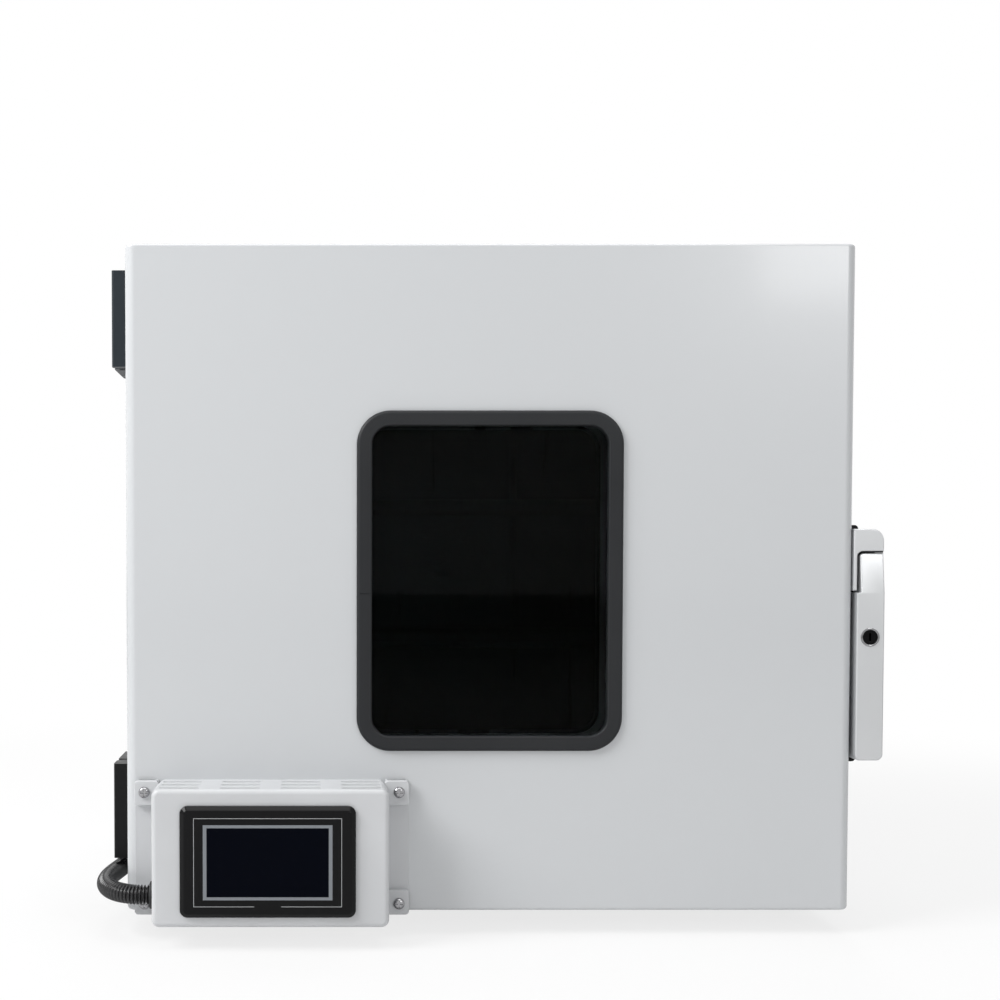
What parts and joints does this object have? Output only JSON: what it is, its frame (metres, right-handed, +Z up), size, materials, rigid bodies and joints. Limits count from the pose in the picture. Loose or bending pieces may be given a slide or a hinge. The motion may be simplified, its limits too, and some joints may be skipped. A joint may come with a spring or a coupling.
{
  "type": "laboratory drying oven",
  "caption": "Bench-top forced-air drying oven: insulated cabinet, glazed hinged door with a side latch and a control box, wire shelves and a rear fan.",
  "frame": {"origin": "on the table, under the middle of the whole oven's footprint", "axes": "+X to the right seen from the front, +Y to the back, +Z up"},
  "size_m": [0.641, 0.649, 0.56],
  "materials": {
    "casing_paint": "semi-gloss light grey powder coat",
    "galvanised": "zinc-coated sheet, plain",
    "stainless": "satin stainless",
    "bright_steel": "bright plated",
    "rubber": "matt black",
    "silicone": "soft red-brown silicone",
    "wool": "mineral wool",
    "glass": "dark tempered",
    "screen": "dark glossy screen",
    "box_plastic": "light grey moulding, fine texture",
    "black_gloss": "gloss black",
    "black_plastic": "matt black nylon",
    "black_metal": "black coated casting",
    "silver_cast": "satin plated casting",
    "motor_grey": "grey enamel",
    "heater_sheath": "heat-darkened sheath",
    "heatsink": "extruded, plain",
    "terminal_beige": "beige moulding"
  },
  "bodies": {
    "cabinet": {"outer_casing": "casing_paint", "base_tray": "galvanised", "rubber_feet": "rubber", "foot_screws": "bright_steel", "front_frame": "stainless", "inner_liner": "stainless", "insulation_jacket": "wool", "rear_bulkhead": "galvanised", "rear_panel": "casing_paint", "casing_screws": "bright_steel", "air_baffle": "stainless", "heater_element": "heater_sheath", "fan_motor": "motor_grey", "left_shelf_rack": "stainless", "right_shelf_rack": "stainless", "temperature_probe": "bright_steel", "overheat_cutout": "black_plastic", "solid_state_relay": "heatsink", "power_supply": "galvanised", "terminal_block": "terminal_beige", "exhaust_spigot": "stainless", "intake_duct": "stainless", "mains_gland": "black_plastic", "switch_frame": "black_plastic", "cabinet_hinge_leaves": "black_metal", "hinge_pins": "bright_steel", "conduit_elbow": "black_plastic", "conduit": "black_plastic", "latch_keeper": "silver_cast"},
    "door": {"door_hinge_leaves": "black_metal", "door_skin": "casing_paint", "door_inner_panel": "stainless", "door_screws": "bright_steel", "door_insulation": "wool", "door_gasket": "silicone", "window_gasket": "rubber", "outer_glass": "glass", "inner_glass": "glass", "window_tunnel": "stainless", "inner_window_frame": "stainless", "panel_box": "box_plastic", "panel_screws": "bright_steel", "touch_panel": "black_gloss", "screen_glass": "screen", "panel_gland": "black_plastic", "latch_base": "black_plastic", "latch_head": "silver_cast", "latch_pin": "bright_steel", "latch_screws": "bright_steel"},
    "fan": {"fan_shaft": "bright_steel", "impeller": "heatsink", "impeller_nut": "bright_steel"},
    "lower_shelf": {"lower_shelf": "stainless"},
    "upper_shelf": {"upper_shelf": "stainless"},
    "latch": {"latch_lever": "silver_cast", "lock_rim": "bright_steel", "latch_hook": "bright_steel"},
    "key_plug": {"lock_cylinder": "black_metal"},
    "damper": {"damper_disc": "bright_steel"},
    "rocker": {"power_rocker": "black_gloss"}
  },
  "joints": [
    {"name": "door_hinge", "type": "hinge", "parent": "cabinet", "child": "door", "pos_m": [-0.3045, -0.2075, 0.29], "axis": [0, 0, -1], "range_deg": [0, 105], "deforming": ["conduit"]},
    {"name": "latch_pivot", "type": "hinge", "parent": "door", "child": "latch", "pos_m": [0.3034, -0.2645, 0.243], "axis": [0, 0, -1], "range_deg": [0, 30]},
    {"name": "key_turn", "type": "hinge", "parent": "latch", "child": "key_plug", "pos_m": [0.3078, -0.2685, 0.2433], "axis": [0, 1, 0], "range_deg": [0, 90]},
    {"name": "fan_spin", "type": "hinge", "parent": "cabinet", "child": "fan", "pos_m": [0, 0.136, 0.29], "axis": [0, 1, 0], "continuous": true},
    {"name": "lower_shelf_slide", "type": "slide", "parent": "cabinet", "child": "lower_shelf", "axis": [0, -1, 0], "range_m": [0, 0.015]},
    {"name": "upper_shelf_slide", "type": "slide", "parent": "cabinet", "child": "upper_shelf", "axis": [0, -1, 0], "range_m": [0, 0.015]},
    {"name": "damper_turn", "type": "hinge", "parent": "cabinet", "child": "damper", "pos_m": [-0.15, 0.2945, 0.42], "axis": [0, 1, 0], "range_deg": [0, 60]},
    {"name": "rocker_tilt", "type": "hinge", "parent": "cabinet", "child": "rocker", "pos_m": [0.15, 0.2905, 0.07], "axis": [0, 0, -1], "range_deg": [0, 12]}
  ]
}
